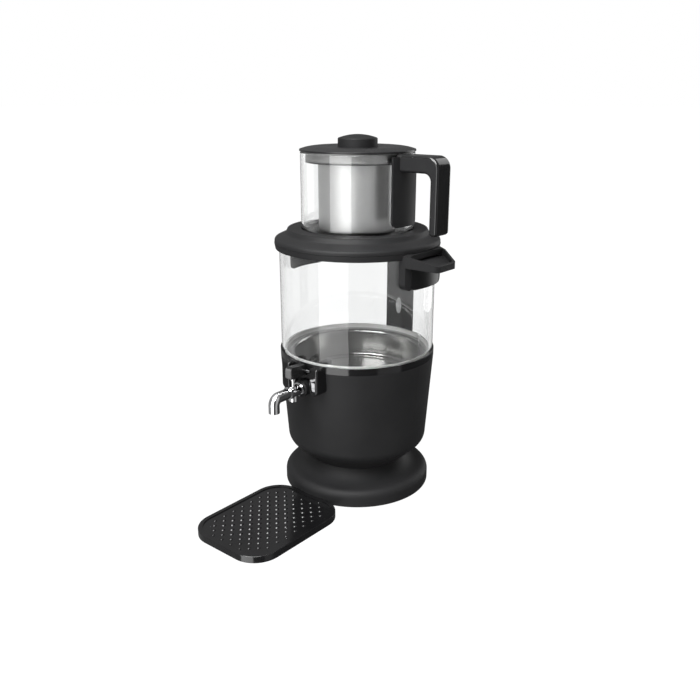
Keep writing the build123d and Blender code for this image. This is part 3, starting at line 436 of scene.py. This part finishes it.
def spineFinish(name, look, piece):
    material, tree, shader = startMaterial(name)
    place = objectPlace(tree)
    parts = splitPlace(tree, place)
    slant = addMath(tree, "ADD", parts["Z"], addMath(tree, "MULTIPLY", parts["X"], look["slope"]))
    level = look["level"]
    reach = look["reach"]
    share = addRange(tree, slant, 0.0, 1.0, level - reach, level + reach)
    # colour along the slant, with the two pale lines of painted reflection
    toneWithPaintedLines = addRamp(tree, share, look["stops"])
    toneWithPaintedLines.node.color_ramp.interpolation = "CONSTANT"
    # painted highlight: a pale drop-shaped patch on the strip
    paintedGlint = look["paintedGlint"]
    aside = addMath(tree, "DIVIDE", addMath(tree, "SUBTRACT", parts["X"], paintedGlint["x"]), paintedGlint["halfWidth"])
    above = addMath(tree, "DIVIDE", addMath(tree, "SUBTRACT", parts["Z"], paintedGlint["z"]), paintedGlint["halfTall"])
    asideSquare = addMath(tree, "MULTIPLY", aside, aside)
    aboveSquare = addMath(tree, "MULTIPLY", above, above)
    away = addMath(tree, "ADD", asideSquare, aboveSquare)
    inPaintedGlint = addRange(tree, away, 1.0, 0.0, paintedGlint["fade"], 1.0)
    withPaintedGlint = mixColours(tree, inPaintedGlint, toneWithPaintedLines, look["paintedGlintColour"])
    # the painted reflection and painted highlight go only on the inner face, towards the tank
    reaches = [vertex.co.xy.length for vertex in piece.data.vertices]
    middle = (min(reaches) + max(reaches)) / 2
    fade = look["outsideFade"]
    inside = addRange(tree, axisReach(tree, parts), 1.0, 0.0, middle - fade, middle + fade)
    colour = mixColours(tree, inside, look["outside"], withPaintedGlint)
    tree.links.new(colour, shader.inputs["Base Color"])
    grain = addNoise(tree, place, look["grain"], detail=2.0, roughness=0.6)
    low, high = look["roughness"]
    fade = look["roughnessFade"]
    byHeight = addRange(tree, slant, low, high, level - fade, level + fade)
    uneven = addRange(tree, grain, *look["unevenness"])
    tree.links.new(addMath(tree, "MULTIPLY", byHeight, uneven), shader.inputs["Roughness"])
    shader.inputs["Specular IOR Level"].default_value = look["specular"]
    addBump(tree, shader, grain, look["bump"], look["depth"])
    return material


spineBlack = spineFinish("spineBlack", spineLook, nodes["rear_spine"])
print("rear strip ready")


# the press lever: black, with a paler outer face that is a painted reflection
leverLook = {
    "body": ((0.007, 0.007, 0.0072), (0.011, 0.011, 0.0112)),
    # pale colour of the outer face, a painted reflection
    "front": (0.1, 0.1, 0.1),
    "skin": 0.0012,        # how far the painted reflection reaches back from the outer face
    "fade": 0.7,           # share of the skin that is all painted reflection
    "roughness": (0.22, 0.3),
    "mottle": 60.0,
    "grain": 2200.0,
    "bump": 0.05,
    "depth": 0.0001,
}


def leverFinish(name, look, piece):
    material, tree, shader = startMaterial(name)
    place = objectPlace(tree)
    parts = splitPlace(tree, place)
    frontLine = min(vertex.co.y for vertex in piece.data.vertices)
    skin = look["skin"]
    # the skin on the outer face takes the pale colour, a painted reflection
    inPaintedReflection = addRange(tree, parts["Y"], 1.0, 0.0, frontLine + skin * look["fade"], frontLine + skin)
    mottle = addNoise(tree, place, look["mottle"])
    colour = mixColours(tree, inPaintedReflection, addTones(tree, mottle, look["body"]), look["front"])
    tree.links.new(colour, shader.inputs["Base Color"])
    low, high = look["roughness"]
    tree.links.new(addRange(tree, mottle, low, high), shader.inputs["Roughness"])
    grain = addNoise(tree, place, look["grain"], detail=2.0, roughness=0.6)
    addBump(tree, shader, grain, look["bump"], look["depth"])
    return material


leverBlack = leverFinish("leverBlack", leverLook, nodes["tap_lever"])
print("lever ready")


# which finish each piece wears
wear = {
    "pedestal_base": satinBlack,
    "base_plate": mattBlack,
    "rubber_feet": blackRubber,
    "base_screws": platedSteel,
    "neck_screws": platedSteel,
    "lower_housing": satinBlack,
    "trim_ring": glossBlack,
    "steel_bowl": bowlSteel,
    "tank_gasket": paleSilicone,
    "glass_tank": clearGlass,
    "glass_collar": satinBlack,
    "spout_insert": insertBlack,
    "steam_baffle": mattBlack,
    "rear_spine": spineBlack,
    "tank_lid": lidBlack,
    "lid_seal": blackRubber,
    "seat_plate": brushedSteel,
    "teapot_glass": clearGlass,
    "teapot_handle": mattBlack,
    "handle_trim": glossBlack,
    "infuser_basket": brushedSteel,
    "infuser_collar": bandSteel,
    "infuser_seal": blackRubber,
    "teapot_lid": potLidBlack,
    "teapot_lid_gasket": blackRubber,
    "lid_knob": mattBlack,
    "knob_screw": platedSteel,
    "heater_plate": castAluminium,
    "heating_element": platedSteel,
    "thermostat": platedSteel,
    "thermal_fuse": ceramicWhite,
    "terminal_block": ceramicWhite,
    "wire_harness": wireRed,
    "power_inlet": mattBlack,
    "inlet_pins": brassPin,
    "tap_bracket": glossBlack,
    "bracket_screws": platedSteel,
    "lever_pin": polishedChrome,
    "tap_lever": leverBlack,
    "switch_rocker": paleRocker,
    "switch_pin": platedSteel,
    "tap_valve_body": polishedChrome,
    "valve_stem": polishedChrome,
    "valve_spring": platedSteel,
    "tap_outer_nut": mattBlack,
    "tap_rings": polishedChrome,
    "tap_spout": polishedChrome,
    "nozzle_insert": mattBlack,
    "tap_washer": paleSilicone,
    "tap_lock_nut": platedSteel,
    "inlet_strainer": brushedSteel,
    "level_probe": mattBlack,
    "probe_pin": polishedChrome,
    "drip_tray": trayBlack,
}
for name, material in wear.items():
    for holder in nodes[name].material_slots:
        holder.material = material
print("finishes on", len(wear), "pieces")


# floor and soft studio light
studio = {
    "floorSize": 60.0,
    "floorColours": ((0.034, 0.034, 0.034), (0.04, 0.04, 0.04)),
    "floorMottle": 3.0,
    "floorRoughness": 0.9,
    "floorSpecular": 0.1,
    "floorGlow": 0.99,     # keeps the pale floor as light as the backdrop
    "lowTone": 0.07,       # studio wall near the floor, for reflections
    "highTone": 0.5,       # overhead
    "rise": (0.3, 0.95),   # upward share of the way, from low to high tone
    "sideTone": 0.32,      # added towards the left
    "side": (-0.6, 1.0),   # leftward share of the way, from none to all of it
}
panels = {
    "keyPanel": {
        "turn": -34.0, "reach": 1.5, "height": 0.2, "aim": 0.2,
        "width": 1.2, "tall": 2.6, "glow": 3.4, "glossOnly": True,
    },
    "fillPanel": {
        "turn": -25.0, "reach": 0.9, "height": 1.4, "aim": 0.1,
        "width": 1.3, "tall": 1.0, "glow": 13.0, "glossOnly": False,
    },
    "frontPanel": {
        "turn": 48.0, "reach": 1.5, "height": 0.2, "aim": 0.2,
        "width": 1.0, "tall": 2.4, "glow": 0.4, "glossOnly": True,
    },
    "rimPanel": {
        "turn": 128.0, "reach": 1.5, "height": 0.55, "aim": 0.22,
        "width": 0.9, "tall": 1.6, "glow": 1.8, "glossOnly": False,
    },
    "topPanel": {
        "turn": -60.0, "reach": 0.35, "height": 1.7, "aim": 0.22,
        "width": 1.2, "tall": 1.2, "glow": 1.2, "glossOnly": False,
    },
}


def addFloor(look):
    half = look["floorSize"] / 2
    corners = [(-half, -half, 0), (half, -half, 0), (half, half, 0), (-half, half, 0)]
    mesh = bpy.data.meshes.new("studioFloor")
    mesh.from_pydata(corners, [], [(0, 1, 2, 3)])
    floor = bpy.data.objects.new("studioFloor", mesh)
    bpy.context.scene.collection.objects.link(floor)
    material, tree, shader = startMaterial("paleFloor")
    mottle = addNoise(tree, objectPlace(tree), look["floorMottle"])
    tree.links.new(addTones(tree, mottle, look["floorColours"]), shader.inputs["Base Color"])
    shader.inputs["Roughness"].default_value = look["floorRoughness"]
    shader.inputs["Specular IOR Level"].default_value = look["floorSpecular"]
    shader.inputs["Emission Color"].default_value = (1.0, 1.0, 1.0, 1.0)
    shader.inputs["Emission Strength"].default_value = look["floorGlow"]
    mesh.materials.append(material)
    floor.visible_glossy = False     # gloss shows the studio, not the white floor
    floor.visible_shadow = False


# a panel stands at a turn from the camera's side, to the right if positive
def addPanel(name, look):
    turn = math.radians(look["turn"])
    data = bpy.data.lights.new(name, "AREA")
    data.shape = "RECTANGLE"
    data.size = look["width"]
    data.size_y = look["tall"]
    data.energy = look["glow"] * math.pi * look["width"] * look["tall"]
    lamp = bpy.data.objects.new(name, data)
    bpy.context.scene.collection.objects.link(lamp)
    level = rightWay * math.sin(turn) - awayWay * math.cos(turn)
    lamp.location = level * look["reach"] + Vector((0, 0, look["height"]))
    aim = Vector((0, 0, look["aim"])) - lamp.location
    lamp.rotation_euler = aim.to_track_quat("-Z", "Y").to_euler()
    lamp.visible_camera = False
    lamp.visible_diffuse = not look["glossOnly"]


# white backdrop for what is seen directly or through glass, soft grey walls for reflections
def addSky(look):
    world = bpy.data.worlds.new("studioSky")
    world.use_nodes = True
    tree = world.node_tree
    backdrop = tree.nodes["Background"]
    backdrop.inputs["Color"].default_value = (1.0, 1.0, 1.0, 1.0)
    backdrop.inputs["Strength"].default_value = 1.0
    walls = addNode(tree, "ShaderNodeBackground")
    way = addNode(tree, "ShaderNodeTexCoord").outputs["Generated"]
    parts = splitPlace(tree, way)
    rise = addRange(tree, parts["Z"], look["lowTone"], look["highTone"], *look["rise"])
    aside = addNode(tree, "ShaderNodeVectorMath", operation="DOT_PRODUCT")
    tree.links.new(way, aside.inputs[0])
    aside.inputs[1].default_value = -rightWay
    leftShare = addRange(tree, aside.outputs["Value"], 0.0, look["sideTone"], *look["side"])
    tone = addMath(tree, "ADD", rise, leftShare)
    tree.links.new(tone, walls.inputs["Strength"])
    path = addNode(tree, "ShaderNodeLightPath")
    bounces = addMath(tree, "ADD", path.outputs["Glossy Depth"], path.outputs["Diffuse Depth"])
    direct = addMath(tree, "LESS_THAN", bounces, 0.5)     # no bounce yet
    both = addNode(tree, "ShaderNodeMixShader")
    tree.links.new(direct, both.inputs["Fac"])
    tree.links.new(walls.outputs["Background"], both.inputs[1])
    tree.links.new(backdrop.outputs["Background"], both.inputs[2])
    tree.links.new(both.outputs["Shader"], tree.nodes["World Output"].inputs["Surface"])
    bpy.context.scene.world = world


addFloor(studio)
addSky(studio)
for name, look in panels.items():
    addPanel(name, look)
bpy.context.scene.view_settings.view_transform = "Standard"
print("studio lit")
